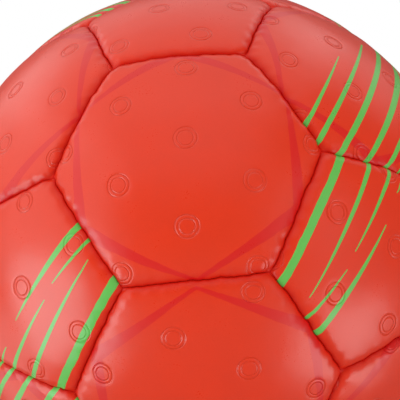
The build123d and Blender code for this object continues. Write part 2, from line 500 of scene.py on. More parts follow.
class PanelShape:
    """A panel of the ball about the Z axis, with the middle of its first side towards X."""

    def __init__(self, sides, axis):
        self.sides = sides
        corner = min(math.acos(min(1.0, float(axis @ c))) for c in CORNERS)
        self.tilt = math.atan(math.tan(corner) * math.cos(math.pi / sides))
        self.half_side = math.asin(math.sin(corner) * math.sin(math.pi / sides))
        self.apothem = self.tilt * BALL_RADIUS

    def directions(self, ring):
        """Unit directions of the vertices of a ring."""
        if ring.steps == 0:
            return np.array([[0.0, 0.0, 1.0]])
        made = []
        for side in range(self.sides):
            turn = math.tau * side / self.sides
            along = (2 * np.arange(ring.steps) / ring.steps - 1) * self.half_side
            x, y = np.cos(along) * math.sin(self.tilt), np.sin(along)
            edge = np.arctan2(np.hypot(x, y), np.cos(along) * math.cos(self.tilt))
            slope = np.hypot(math.cos(self.tilt) * x / np.hypot(x, y), math.sin(self.tilt))
            tilt = edge - np.arcsin(np.minimum(1.0, math.sin(ring.seam / BALL_RADIUS) / slope))
            tilt = tilt + ring.roundness * (self.tilt - ring.seam / BALL_RADIUS - tilt)
            azimuth = np.arctan2(y, x) + turn
            out = np.sin(tilt)
            made.append(np.stack((out * np.cos(azimuth), out * np.sin(azimuth), np.cos(tilt)), axis=1))
        return np.concatenate(made)

    def loft(self, rings, closed=False):
        """Directions, levels and triangles of the surface through the rings, in order."""
        places, levels, numbers, start = [], [], [], 0
        for ring in rings:
            found = self.directions(ring)
            places.append(found)
            levels.append(np.full(len(found), ring.level))
            numbers.append(range(start, start + len(found)))
            start += len(found)
        pairs = list(zip(numbers, numbers[1:])) + ([(numbers[-1], numbers[0])] if closed else [])
        triangles = [triangle for pair in pairs for triangle in zip_rings(*pair)]
        return np.concatenate(places), np.concatenate(levels), np.array(triangles, np.int32)

    def seam_places(self, directions):
        """Distance to the nearest and next seam, place along the nearest one, and its number."""
        distance, along = [], []
        for side in range(self.sides):
            turn = math.tau * side / self.sides
            cosine, sine = math.cos(turn), math.sin(turn)
            outward = np.array((cosine, sine, -math.tan(self.tilt))) * math.cos(self.tilt)
            middle = np.array((cosine, sine, 1 / math.tan(self.tilt))) * math.sin(self.tilt)
            across = np.array((-sine, cosine, 0.0))
            distance.append(-np.arcsin(np.clip(directions @ outward, -1, 1)) * BALL_RADIUS)
            along.append(np.arctan2(directions @ across, directions @ middle) * BALL_RADIUS)
        distance, along = np.array(distance), np.array(along)
        nearest = distance.argmin(axis=0)
        ordered = np.sort(distance, axis=0)
        return ordered[0], ordered[1], along[nearest, np.arange(len(directions))], nearest


HEXAGON = PanelShape(6, HEXAGON_AXES[0])
PENTAGON = PanelShape(5, PENTAGON_AXES[0])
COVER_INSIDE = LINING_OUTSIDE + 0.06 * MM
EDGE_THICKNESS = 2.4 * MM
THREAD_CHANNEL = 0.03 * MM
STEPS_A_SIDE = {6: 70, 5: 58}
FINE_BAND, FINE_RINGS, FINE_CROWDING = 3.2 * MM, 14, 1.35  # the closer rings beside a seam
CHANNEL_TURNS = range(20, 161, 28)  # degrees round the thread
UNDERSIDE_SHARES = (1.0, 0.75, 0.5, 0.25)
VALVE_HOLE, VALVE_STEPS = 4.28 * MM, 12
VALVE_EDGE = ((0.0, 1.2), (0.05, 0.75), (0.22, 0.35))  # inset and depth of the rounded rim, in mm
ROUND_RINGS = 8  # over which the rings go from the round hole to the panel's own outline


def cover_rings(shape, valve=False):
    """Rings of a cover, from its crown over the fold and down the seam to its underside's middle."""
    sizes = bpy.context.scene.handball_sizes
    steps = STEPS_A_SIDE[shape.sides]
    wall = sizes.seam_gap / 2
    first = VALVE_STEPS if valve else 0
    rings = []
    if valve:
        hole = shape.apothem - VALVE_HOLE
        rings.append(Ring(first, hole, COVER_INSIDE, 1.0))
        for inset, depth in VALVE_EDGE:
            rings.append(Ring(first, hole - inset * MM, BALL_RADIUS - depth * MM, 1.0))
    for step in range(first, steps + 1):
        roundness = max(0.0, 1.0 - (step - first) / ROUND_RINGS) if valve else 0.0
        seam = shape.apothem - (shape.apothem - FINE_BAND) * step / steps
        rings.append(Ring(step, seam, 0.0, roundness))
    for step in range(1, FINE_RINGS + 1):
        share = 1 - step / FINE_RINGS
        rings.append(Ring(steps, wall + (FINE_BAND - wall) * share**FINE_CROWDING))
    channel = sizes.thread_radius + THREAD_CHANNEL
    for turn in CHANNEL_TURNS:
        angle = math.radians(turn)
        seam = max(wall, channel * math.sin(angle))
        rings.append(Ring(steps, seam, THREAD_PATH + channel * math.cos(angle)))
    rings += [Ring(steps, wall, INNER_EDGE), Ring(steps, wall + EDGE_THICKNESS, INNER_EDGE)]
    for share in UNDERSIDE_SHARES:
        seam = shape.apothem - (shape.apothem - wall - EDGE_THICKNESS) * share
        rings.append(Ring(round(steps * share), seam, COVER_INSIDE))
    if not valve:
        rings.append(Ring(0, shape.apothem, COVER_INSIDE))
    return rings


def turned_to(axis, towards):
    """Rotation that takes Z to the axis and X towards the other direction."""
    z = unit(axis)
    x = unit(towards - z * (towards @ z))
    return np.stack((x, np.cross(z, x), z), axis=1)


def closest(directions, to):
    """The nearest other direction, and of several the one that lies flattest and furthest to the right."""
    others = [d for d in directions if not same_way(d, to)]
    return max(others, key=lambda d: (round(float(d @ to), 6), -round(abs(d[2]), 6), d[0]))


class Pull(NamedTuple):
    """A corner that the stitching drew aside, by so many millimetres to the right and up."""

    corner: tuple
    right: float
    up: float


CORNER_PULLS = (
    Pull((1, -3 * GOLDEN, 0), 1.3, 0.0),
    Pull((-1, -3 * GOLDEN, 0), -0.65, -0.6),
    Pull((-1, -2 - GOLDEN, 2 * GOLDEN), -0.7, 0.0),
    Pull((1, -2 - GOLDEN, 2 * GOLDEN), 0.7, -0.3),
)
PULL_REACH = 16 * MM


def pulled(directions):
    """Directions moved with the corners that the stitching drew aside."""
    moved = np.array(directions)
    for pull in CORNER_PULLS:
        corner = unit(pull.corner)
        near = np.linalg.norm(directions - corner, axis=1) * BALL_RADIUS / PULL_REACH
        shift = np.array((pull.right, 0.0, pull.up)) * MM / BALL_RADIUS
        moved += np.exp(-near * near)[:, None] * (shift - corner * (shift @ corner))
    return moved / np.linalg.norm(moved, axis=1)[:, None]


def panel_nodes(axes, names):
    """Each panel's axis with the CAD node whose solid lies there."""
    found = []
    for name in names:
        low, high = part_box(name)
        middle = unit((np.array(low) + np.array(high)) / 2)
        found.append((max(axes, key=lambda axis: float(axis @ middle)), name))
    return found


class Stripe(NamedTuple):
    """A printed stripe on a flat panel in millimetres: its tip, its base and its width at both."""

    tip: tuple
    base: tuple
    tip_width: float
    base_width: float


HEXAGON_STRIPES = (
    Stripe((2.4, 7.3), (-29.9, 26.2), 0.3, 1.4),
    Stripe((17.7, -8.9), (-36.0, 23.3), 0.7, 1.7),
    Stripe((29.0, -23.7), (-37.6, 15.2), 2.0, 2.0),
    Stripe((-37.3, 4.9), (22.0, -29.2), 1.6, 2.8),
    Stripe((-37.7, -3.0), (15.0, -32.5), 1.4, 2.2),
    Stripe((-37.7, -8.4), (10.0, -35.0), 0.9, 1.8),
)
PENTAGON_STRIPES = (
    Stripe((28.5, 14.2), (-14.3, 30.0), 2.6, 2.6),
    Stripe((-15.0, 19.8), (28.8, 3.8), 0.3, 1.6),
    Stripe((0.1, 8.3), (28.3, -4.0), 0.3, 1.4),
    Stripe((9.5, -1.3), (-25.7, 14.7), 0.3, 2.0),
    Stripe((-5.1, 9.9), (-22.4, 19.2), 0.3, 1.1),
    Stripe((19.8, -5.4), (27.7, -9.8), 0.3, 0.9),
)


def half_turns(direction):
    """The direction as it is and after a half turn about X, Y and Z."""
    return [direction * np.array(signs) for signs in ((1, 1, 1), (1, -1, -1), (-1, 1, -1), (-1, -1, 1))]


def stripe_groups():
    """Every pentagon that carries stripes with the hexagon they run on into."""
    front = zip(half_turns(unit((1 / GOLDEN, -1, 0))), half_turns(unit((1, -1, 1))))
    side = zip(half_turns(unit((-1, 0, 1 / GOLDEN))), half_turns(unit((-1 / GOLDEN, 0, GOLDEN))))
    return [*front, *side]


def stripe_partner(axis):
    """Where the stripes of a panel run on to, or None for a plain panel."""
    for pentagon, hexagon in stripe_groups():
        if same_way(axis, pentagon):
            return hexagon
        if same_way(axis, hexagon):
            return pentagon
    return None


class PrintLayout(NamedTuple):
    """How a panel was cut: its axis, the turn of the rows of pressed rings in degrees, the first ring
    in mm, and how far the print lies from its place in mm and leans in degrees."""

    axis: tuple
    turn: float
    first: tuple
    shift: tuple = (0.0, 0.0, 0.0)
    lean: float = 0.0


PRINT_LAYOUTS = (
    PrintLayout((0, -GOLDEN, 1 / GOLDEN), 176.5, (-8.2, 17.8)),
    PrintLayout((0, -1, GOLDEN), 90.1, (7.0, 17.5)),
    PrintLayout((-1, -1, 1), 117.3, (11.1, -12.9)),
    PrintLayout((1, -1, 1), 124.0, (-12.0, 5.9), (-0.9, 0.0, 0.0)),
    PrintLayout((-1, -GOLDEN, 0), 16.1, (-0.8, 1.1), (1.35, 0.0, 0.0)),
    PrintLayout((1, -GOLDEN, 0), 132.2, (-7.8, 1.2), (0.7, 0.0, 0.0)),
    PrintLayout((0, -GOLDEN, -1 / GOLDEN), 116.4, (9.6, -2.6), (1.4, 0.0, -2.0), 2.2),
    PrintLayout((-1 / GOLDEN, 0, GOLDEN), 20.0, (4.0, 6.0), (-3.7, -2.2, -1.4)),
)


OTHER_TURN, OTHER_FIRST = 37.0, (-3.9, 1.0)


def print_layout(axis, order):
    """A panel's own layout, or for the other panels one turned by the panel's number."""
    for layout in PRINT_LAYOUTS:
        if same_way(axis, unit(layout.axis)):
            return layout
    return PrintLayout(tuple(axis), OTHER_TURN * order, OTHER_FIRST)


def printed_places(flat, turn, layout):
    """Places on a flat panel as its print has them, a little aside and leaning."""
    lean = math.radians(layout.lean)
    leaning = np.array(((math.cos(lean), -math.sin(lean)), (math.sin(lean), math.cos(lean))))
    return (flat - (turn.T @ np.multiply(layout.shift, MM))[:2]) @ leaning


def panel_turn(shape, axis):
    """Rotation of a panel to its place, with its stripes in line with those of its partner."""
    partner = stripe_partner(axis)
    if partner is None:
        return turned_to(axis, closest(HEXAGON_AXES, axis))
    return turned_to(axis, partner if shape is PENTAGON else -partner)


def mark_distance(places, layout, sizes):
    """Distance of each place on a flat panel from the middle of the nearest pressed ring."""
    turn = math.radians(layout.turn)
    x = places[:, 0] * math.cos(turn) + places[:, 1] * math.sin(turn) - layout.first[0] * MM
    y = places[:, 1] * math.cos(turn) - places[:, 0] * math.sin(turn) - layout.first[1] * MM

    def off(value, pitch):
        return (value + pitch / 2) % pitch - pitch / 2

    step, rows = sizes.mark_spacing, 2 * sizes.mark_rows
    even = np.hypot(off(x, step), off(y, rows))
    odd = np.hypot(off(x - step / 2, step), off(y - rows / 2, rows))
    return np.minimum(even, odd)


PANEL_SEED, SIDES_SEED = 3.7, 11.0


def build_covers(shape, axes, names, materials, valve=False):
    """One padded cover for each named panel node."""
    sizes = bpy.context.scene.handball_sizes
    tree = bpy.data.node_groups.get("panel_relief") or relief_tree()
    local, levels, triangles = shape.loft(cover_rings(shape, valve), closed=valve)
    seam, next_seam, along, side = shape.seam_places(local)
    flat = local[:, :2] / local[:, 2:] * BALL_RADIUS
    values = {prop.name: getattr(sizes, prop.identifier) for prop in sizes.bl_rna.properties}
    values = {label: values[label] for label in RELIEF_SIZES}
    values["Apothem"] = shape.apothem
    for order, (axis, node) in enumerate(panel_nodes(axes, names)):
        turn, layout = panel_turn(shape, axis), print_layout(axis, order)
        piece = new_piece(node.replace("panel", "cover"), pulled(local @ turn.T), triangles)
        for label, numbers in (
            ("seam", seam), ("next_seam", next_seam), ("along", along), ("side", side),
            ("level", levels), ("mark", mark_distance(flat, layout, sizes)),
        ):
            add_numbers(piece.data, label, numbers)
        add_map(piece.data, "panel", printed_places(flat, turn, layout))
        values["Seed"] = PANEL_SEED * order + SIDES_SEED * shape.sides
        values["Material"] = materials[stripe_partner(axis) is not None]
        run_tree(piece, tree, values)
        for label in ("next_seam", "along", "side", "level"):
            piece.data.attributes.remove(piece.data.attributes[label])
        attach(piece, "root")
        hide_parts(node)


def new_material(name, roughness, **sockets):
    """A material whose Principled shader takes the given constants."""
    material = bpy.data.materials.new(name)
    material.use_nodes = True
    tree = material.node_tree
    shader = next(node for node in tree.nodes if node.type == "BSDF_PRINCIPLED")
    shader.inputs["Roughness"].default_value = roughness
    for label, value in sockets.items():
        shader.inputs[label.replace("_", " ")].default_value = value
    return material, tree, shader


MIX_SOCKETS, MIX_RESULT = (0, 6, 7), 2  # where the Mix node keeps its share and its colours


def mixed(tree, share, first, second):
    """Colour between two colours."""
    node = add_node(tree, "ShaderNodeMix", {"data_type": "RGBA"})
    for value, socket in zip((share, first, second), MIX_SOCKETS):
        plug(tree, value, node.inputs[socket])
    return node.outputs[MIX_RESULT]


def shaded(colour_value, share, added=0.0):
    """A colour made darker or paler."""
    return tuple(value * share + added for value in colour_value[:3]) + (1.0,)


def map_places(tree, name):
    """The two numbers of a UV map, in metres."""
    source = add_node(tree, "ShaderNodeUVMap", {"uv_map": name})
    parts = add_node(tree, "ShaderNodeSeparateXYZ", Vector=source.outputs[0])
    return Field(tree, parts.outputs[0]), Field(tree, parts.outputs[1])


def grain(tree, cell, seed):
    """Noise about zero on Object coordinates, with cells of the given size."""
    place = tree.nodes.new("ShaderNodeTexCoord").outputs["Object"]
    return noise(tree, scaled(tree, place, 1 / cell), seed)


def bump(tree, shader, height, depth):
    """Raises the look of a surface by the height, times the depth in metres."""
    node = add_node(tree, "ShaderNodeBump", Height=height, Distance=depth, Strength=1.0)
    plug(tree, node.outputs[0], shader.inputs["Normal"])


STRIPE_SOCKETS = ("X", "Y", "Tip X", "Tip Y", "Turn", "Length", "Tip Width", "Base Width")
STRIPE_SWELL = 1.5  # above one, a stripe widens soonest near its tip


def stripe_group():
    """Node group that is one inside a tapered stripe and zero outside it."""
    tree = bpy.data.node_groups.new("tapered_stripe", "ShaderNodeTree")
    for label in STRIPE_SOCKETS:
        tree.interface.new_socket(label, in_out="INPUT", socket_type="NodeSocketFloat")
    tree.interface.new_socket("Inside", in_out="OUTPUT", socket_type="NodeSocketFloat")
    given, result = tree.nodes.new("NodeGroupInput"), tree.nodes.new("NodeGroupOutput")
    x, y, tip_x, tip_y, turn, reach, tip_width, base_width = (
        Field(tree, given.outputs[label]) for label in STRIPE_SOCKETS
    )
    cosine, sine = turn.math("COSINE"), turn.math("SINE")
    share = ((x - tip_x) * cosine + (y - tip_y) * sine) / reach
    off = ((y - tip_y) * cosine - (x - tip_x) * sine).math("ABSOLUTE")
    width = tip_width + (base_width - tip_width) * (1.0 - (1.0 - share).math("POWER", STRIPE_SWELL))
    inside = share.math("GREATER_THAN", 0.0) * share.math("LESS_THAN", 1.0)
    plug(tree, inside * off.math("LESS_THAN", width * 0.5), result.inputs[0])
    return tree


def printed_share(tree, stripes):
    """One on the printed stripes of a panel."""
    x, y = map_places(tree, "panel")
    group = bpy.data.node_groups.get("tapered_stripe") or stripe_group()
    printed = None
    for stripe in stripes:
        run = np.subtract(stripe.base, stripe.tip)
        node = add_node(tree, "ShaderNodeGroup", {"node_tree": group}, X=x, Y=y)
        node.inputs["Turn"].default_value = math.atan2(run[1], run[0])
        for label, value in (
            ("Tip X", stripe.tip[0]), ("Tip Y", stripe.tip[1]), ("Length", float(np.hypot(*run))),
            ("Tip Width", stripe.tip_width), ("Base Width", stripe.base_width),
        ):
            node.inputs[label].default_value = value * MM
        inside = Field(tree, node.outputs[0])
        printed = inside if printed is None else printed.math("MAXIMUM", inside)
    return printed


BAND_NARROW, BAND_WIDE = 1.0 * MM, 4.2 * MM


def band_share(tree):
    """One on the band that links the middles of a hexagon's sides, narrow at every other one."""
    x, y = map_places(tree, "panel")
    reach = (x * x + y * y).math("SQRT")
    sixth = math.pi / 6
    turn = y.math("ARCTAN2", x).math("PINGPONG", 2 * sixth) - sixth
    apothem = BALL_RADIUS * math.tan(HEXAGON.tilt)
    off = (reach * turn.math("COSINE") - apothem * math.cos(sixth)).math("ABSOLUTE")
    share = (reach * turn.math("SINE") / apothem + 0.5).held()
    half = (BAND_NARROW + share * (BAND_WIDE - BAND_NARROW)) * 0.5
    return off.math("LESS_THAN", half)


SEAM_SHADE, SEAM_SHADE_SHARE = 1.1 * MM, 0.85
COAT_ROUGHNESS, COAT_SHINE = 0.3, 0.6
GRAIN_CELL, GRAIN_DEPTH = 0.45 * MM, 0.02 * MM
CLOUD_CELL, CLOUD_SHADE = 9.0 * MM, 0.9
CLOUD_BROAD, CLOUD_FINE, CLOUD_MIDDLE = 0.9, 0.8, 0.4  # weights of the two noises in the red
DULL_BROAD, DULL_FINE = 0.08, 0.1  # and in the roughness
INNER_RING = 0.68  # of the outer ring's radius
RING_LINE, RING_CUT = 0.16 * MM, 0.13 * MM


def cover_material(name, banded, stripes):
    """Coated foam: red with a fine grain, pressed rings, printed stripes and, where banded, darker bands."""
    colours, sizes = bpy.context.scene.handball_colours, bpy.context.scene.handball_sizes
    material, tree, shader = new_material(name, roughness=COAT_ROUGHNESS)
    fine, broad = grain(tree, GRAIN_CELL, seed=2.0), grain(tree, CLOUD_CELL, seed=5.0)
    cloudy = (broad * CLOUD_BROAD + fine * CLOUD_FINE + CLOUD_MIDDLE).held()
    skin = mixed(tree, cloudy, tuple(colours.cover_red), shaded(colours.cover_red, CLOUD_SHADE))
    if banded:
        skin = mixed(tree, band_share(tree), skin, tuple(colours.band_red))
    seam = Field(tree, add_node(tree, "ShaderNodeAttribute", {"attribute_name": "seam"}).outputs["Fac"])
    # Painted shade: within about a millimetre of each seam the coating is darkened towards the deep seam red
    # for the shade in the fold, and the same fade dulls the coating's shine there.
    painted_seam_shade = seam.fading(SEAM_SHADE)
    skin = mixed(tree, painted_seam_shade * SEAM_SHADE_SHARE, skin, tuple(colours.seam_red))
    if stripes:
        skin = mixed(tree, printed_share(tree, stripes), skin, tuple(colours.stripe_green))
    plug(tree, skin, shader.inputs["Base Color"])
    plug(tree, (1.0 - painted_seam_shade) * COAT_SHINE, shader.inputs["Specular IOR Level"])
    dull = (broad * DULL_BROAD + fine * DULL_FINE + COAT_ROUGHNESS).held()
    plug(tree, dull, shader.inputs["Roughness"])
    mark = Field(tree, add_node(tree, "ShaderNodeAttribute", {"attribute_name": "mark"}).outputs["Fac"])
    lines = None
    for radius in (sizes.mark_radius, sizes.mark_radius * INNER_RING):
        off = (mark - radius) / RING_LINE
        line = (off * off * -1.0).math("EXPONENT")
        lines = line if lines is None else lines + line
    bump(tree, shader, fine * GRAIN_DEPTH - lines * RING_CUT, 1.0)
    return material


def cover_materials(kind, banded, stripes):
    """The plain and the striped material of a kind of panel."""
    return tuple(
        bpy.data.materials.get(f"{kind}_{finish}") or cover_material(f"{kind}_{finish}", banded, drawn)
        for finish, drawn in (("plain", ()), ("striped", stripes))
    )


def woven_material(name, colour_value, cell):
    """Cloth: crossing yarns on Object coordinates."""
    material, tree, shader = new_material(name, roughness=0.85)
    place = add_node(
        tree, "ShaderNodeSeparateXYZ", Vector=tree.nodes.new("ShaderNodeTexCoord").outputs["Object"]
    )
    x, y, z = (Field(tree, place.outputs[i]) * (math.tau / cell) for i in range(3))
    weave = (x + z * 0.5).math("SINE") * (y + z).math("SINE")
    uneven = (weave * 0.4 + grain(tree, 3 * MM, seed=8.0) * 0.6 + 0.5).held()
    shade = mixed(tree, uneven, shaded(colour_value, 0.7), tuple(colour_value))
    plug(tree, shade, shader.inputs["Base Color"])
    bump(tree, shader, weave, 0.1 * MM)
    return material


def rubber_material(name, colour_value, cell):
    """Moulded rubber: a dull bloom in patches over a fine grain."""
    material, tree, shader = new_material(name, roughness=0.5)
    fine, bloom = grain(tree, cell, seed=4.0), grain(tree, 12 * cell, seed=9.0)
    patchy = (bloom + fine * 0.4 + 0.4).held()
    shade = mixed(tree, patchy, tuple(colour_value), shaded(colour_value, 1.6, 0.01))
    plug(tree, shade, shader.inputs["Base Color"])
    plug(tree, (bloom * 0.3 + 0.55).held(), shader.inputs["Roughness"])
    bump(tree, shader, fine, 0.05 * MM)
    return material


def thread_material():
    """Waxed thread: twisted strands and a little sheen."""
    value = bpy.context.scene.handball_colours.thread_red
    material, tree, shader = new_material("waxed_thread", roughness=0.6, Sheen_Weight=0.2)
    strand = grain(tree, 0.25 * MM, seed=6.0)
    shade = mixed(tree, (strand * 1.4 + 0.4).held(), tuple(value), shaded(value, 1.8))
    plug(tree, shade, shader.inputs["Base Color"])
    bump(tree, shader, strand, 0.1 * MM)
    return material


class HANDBALL_OT_hexagon_covers(bpy.types.Operator):
    """Builds the nineteen hexagon covers without the valve"""

    bl_idname = "handball.hexagon_covers"
    bl_label = "Hexagon Covers"

    def execute(self, context):
        names = [f"hexagon_panel_{number:02d}" for number in range(1, 20)]
        materials = cover_materials("hexagon", True, HEXAGON_STRIPES)
        build_covers(HEXAGON, HEXAGON_AXES, names, materials)
        return {"FINISHED"}


class HANDBALL_OT_pentagon_covers(bpy.types.Operator):
    """Builds the twelve pentagon covers"""

    bl_idname = "handball.pentagon_covers"
    bl_label = "Pentagon Covers"

    def execute(self, context):
        names = [f"pentagon_panel_{number:02d}" for number in range(1, 13)]
        materials = cover_materials("pentagon", False, PENTAGON_STRIPES)
        build_covers(PENTAGON, PENTAGON_AXES, names, materials)
        return {"FINISHED"}


class HANDBALL_OT_valve_cover(bpy.types.Operator):
    """Builds the hexagon cover with the valve hole"""

    bl_idname = "handball.valve_cover"
    bl_label = "Valve Cover"

    def execute(self, context):
        materials = cover_materials("hexagon", True, HEXAGON_STRIPES)
        build_covers(HEXAGON, HEXAGON_AXES, ["valve_panel"], materials, valve=True)
        return {"FINISHED"}


SEAM_STEPS = 24
SEAM_REACH = 1.05 * min(math.acos(float(CORNERS[0] @ other)) for other in CORNERS[1:])  # just past a seam
STITCH_FILL = 0.94  # of the pitch


def seam_lines(half):
    """Points and edges along every seam, as far as the given angle on both sides of its middle."""
    points, edges = [], []
    for first, second in combinations(CORNERS, 2):
        if math.acos(max(-1.0, min(1.0, float(first @ second)))) > SEAM_REACH:
            continue
        middle, over = unit(first + second), unit(second - first)
        start = len(points)
        for step in range(SEAM_STEPS + 1):
            angle = half * (2 * step / SEAM_STEPS - 1)
            points.append(math.cos(angle) * middle + math.sin(angle) * over)
        edges += [(start + step, start + step + 1) for step in range(SEAM_STEPS)]
    return np.array(points), edges


class HANDBALL_OT_seam_stitches(bpy.types.Operator):
    """Builds the row of stitches in every seam"""

    bl_idname = "handball.seam_stitches"
    bl_label = "Seam Stitches"

    def execute(self, context):
        sizes = context.scene.handball_sizes
        count = int(SEAM_REACH * THREAD_PATH // sizes.stitch_pitch)
        points, edges = seam_lines(sizes.stitch_pitch * (count - 1) / 2 / THREAD_PATH)
        mesh = bpy.data.meshes.new("seam_stitches")
        mesh.from_pydata([tuple(point) for point in pulled(points)], edges, [])
        piece = bpy.data.objects.new("seam_stitches", mesh)
        context.scene.collection.objects.link(piece)
        run_tree(
            piece, stitch_tree(),
            {"Thread Radius": sizes.thread_radius, "Stitch Length": sizes.stitch_pitch * STITCH_FILL,
             "Stitches": float(count), "Path Radius": THREAD_PATH, "Ball Radius": sizes.ball_radius,
             "Seam Wander": sizes.seam_wander, "Wander Size": sizes.wander_size,
             "Material": thread_material()},
        )
        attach(piece, "root")
        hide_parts("seam_threads")
        return {"FINISHED"}


LINING_EDGE, LINING_EDGE_ROUND = EDGE_THICKNESS + 0.7 * MM, 0.3 * MM
LINING_STEPS, LINING_ROUND_RINGS = 20, 5
LINING_HOLE = VALVE_HOLE + 0.3 * MM
COCKLE = 0.08 * MM
COCKLE_ROOM = 1.2 * COCKLE
COCKLE_WAVES = 0.09, 0.12  # of the ball's radius


def valve_axis():
    """Axis of the panel that holds the valve."""
    return panel_nodes(HEXAGON_AXES, ["valve_panel"])[0][0]


def lining_rings(shape, valve=False):
    """Rings of a lining, from the middle of its outer face round its cut edge to that of its inner face."""
    outside, inside = LINING_OUTSIDE - COCKLE_ROOM, LINING_INSIDE + COCKLE_ROOM
    middle = shape.apothem - LINING_HOLE if valve else shape.apothem
    steps, first = LINING_STEPS, VALVE_STEPS if valve else 0
    face = []
    for step in range(first, steps + 1):
        roundness = max(0.0, 1.0 - (step - first) / LINING_ROUND_RINGS) if valve else 0.0
        share = (step - first) / (steps - first)
        face.append((step, middle + (LINING_EDGE + LINING_EDGE_ROUND - middle) * share, roundness))
    return (
        [Ring(step, seam, outside, roundness) for step, seam, roundness in face]
        + [Ring(steps, LINING_EDGE, outside - LINING_EDGE_ROUND)]
        + [Ring(steps, LINING_EDGE, inside + LINING_EDGE_ROUND)]
        + [Ring(step, seam, inside, roundness) for step, seam, roundness in reversed(face)]
    )


def build_linings(name, node, shape, axes, material, valve=False):
    """The linings of one group, each a little cockled, as one piece."""
    local, levels, triangles = shape.loft(lining_rings(shape, valve), closed=valve)
    wave, cross_wave = (np.sin(local[:, i] * math.tau / COCKLE_WAVES[i]) for i in range(2))
    heights = (levels + COCKLE * wave * cross_wave)[:, None]
    turns = [turned_to(axis, closest(HEXAGON_AXES, axis)) for axis in axes]
    points = [pulled(local @ turn.T) * heights for turn in turns]
    faces = [triangles + len(local) * order for order in range(len(points))]
    add_inner_piece(name, node, np.concatenate(points), np.concatenate(faces), material)


def add_inner_piece(name, node, points, triangles, material):
    """A smooth mesh in one material that stands for a CAD node inside the covers."""
    piece = new_piece(name, points, triangles)
    piece.data.materials.append(material)
    piece.data.shade_smooth()
    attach(piece, "root")
    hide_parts(node)


class HANDBALL_OT_linings(bpy.types.Operator):
    """Builds the cloth linings behind the covers"""

    bl_idname = "handball.linings"
    bl_label = "Linings"

    def execute(self, context):
        cloth = woven_material("lining_cloth", context.scene.handball_colours.lining_cloth, 0.8 * MM)
        valve = valve_axis()
        others = [axis for axis in HEXAGON_AXES if not same_way(axis, valve)]
        build_linings("hexagon_lining_cloth", "hexagon_linings", HEXAGON, others, cloth)
        build_linings("pentagon_lining_cloth", "pentagon_linings", PENTAGON, PENTAGON_AXES, cloth)
        build_linings("valve_lining_cloth", "valve_panel_lining", HEXAGON, [valve], cloth, valve=True)
        return {"FINISHED"}


BLADDER_RINGS, BLADDER_STEPS = 121, 96
BLADDER_HOLE = VALVE_HOLE + 0.1 * MM
BLADDER_PAD, PAD_EDGE = math.radians(14), 1.5 * MM  # the thicker ring round the valve, and its slope
RIB_HEIGHT, RIB_WIDTH = 0.15 * MM, 2.5 * MM
SKIN_DROP = 1.2  # of the rib's height, from the bladder's full radius down to its skin
INSIDE_ROOM = 0.02 * MM


def bladder_profile():
    """Tilt from the pole opposite the valve and radius of each ring, down the outside and back inside."""
    hole = math.asin(BLADDER_HOLE / BLADDER_OUTSIDE)
    tilts = np.linspace(0.0, math.pi - hole, BLADDER_RINGS)
    rib = np.exp(-(((tilts - math.pi / 2) * BLADDER_OUTSIDE / RIB_WIDTH) ** 2))
    pad = np.clip((tilts - math.pi + BLADDER_PAD) * BLADDER_OUTSIDE / PAD_EDGE, 0.0, 1.0)
    outer = BLADDER_OUTSIDE - RIB_HEIGHT * (SKIN_DROP - np.maximum(rib, pad))
    inner = np.full(len(tilts), BLADDER_INSIDE + INSIDE_ROOM)
    return [*zip(tilts, outer), *zip(tilts[::-1], inner)]


class HANDBALL_OT_bladder(bpy.types.Operator):
    """Builds the bladder, with its moulded rib and the thicker ring round the valve"""

    bl_idname = "handball.bladder"
    bl_label = "Bladder"

    def execute(self, context):
        colours = context.scene.handball_colours
        material = rubber_material("bladder_rubber", colours.bladder_rubber, 0.6 * MM)
        turn, rings, triangles = turned_to(-valve_axis(), PENTAGON_AXES[0]), [], []
        around_axis = math.tau * np.arange(BLADDER_STEPS) / BLADDER_STEPS
        for tilt, radius in bladder_profile():
            spread = around_axis if tilt > 0 else around_axis[:1]
            out, level = radius * math.sin(tilt), np.full(len(spread), radius * math.cos(tilt))
            rings.append(np.stack((out * np.cos(spread), out * np.sin(spread), level), axis=1) @ turn.T)
        starts = np.cumsum([0] + [len(ring) for ring in rings])
        for first, second, third in zip(starts, starts[1:], starts[2:]):
            triangles += zip_rings(range(first, second), range(second, third))
        points = np.concatenate(rings)
        add_inner_piece("bladder_skin", "bladder", points, np.array(triangles), material)
        return {"FINISHED"}


class HANDBALL_OT_valve(bpy.types.Operator):
    """Finishes the valve's housing and plug"""

    bl_idname = "handball.valve"
    bl_label = "Valve"

    def execute(self, context):
        colours = context.scene.handball_colours
        material = rubber_material("valve_rubber", colours.valve_rubber, 0.2 * MM)
        for name in ("valve_housing", "valve_plug"):
            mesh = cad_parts[name].data
            mesh.materials.clear()
            mesh.materials.append(material)
        return {"FINISHED"}


CAMERA_RANGE = 3.2239 * BALL_RADIUS
CAMERA_AZIMUTH, CAMERA_ELEVATION = math.radians(2.219), math.radians(5.023)
CAMERA_YAW, CAMERA_PITCH, CAMERA_ROLL = math.radians(2.277), math.radians(1.638), math.radians(-5.413)
CAMERA_LENS, CAMERA_SENSOR, CAMERA_NEAREST = 73.039, 36.0, 0.01
FLOOR_HALF, FLOOR_CLOUD = 3.0, 0.2
FADE_START, FADE_REACH = 0.25, 0.6  # where the floor begins to fade to white, and over what distance
ROOM_LIGHT, ROOM_MIRRORED = 0.12, 0.03  # light of the room, and what mirrored rays see beyond it


class Lamp(NamedTuple):
    """An area lamp turned to the ball: metres, watts, whether the coating mirrors it, and its colour."""

    name: str
    place: tuple
    size: tuple
    power: float
    mirrored: bool = True
    tint: tuple = (1.0, 1.0, 1.0)


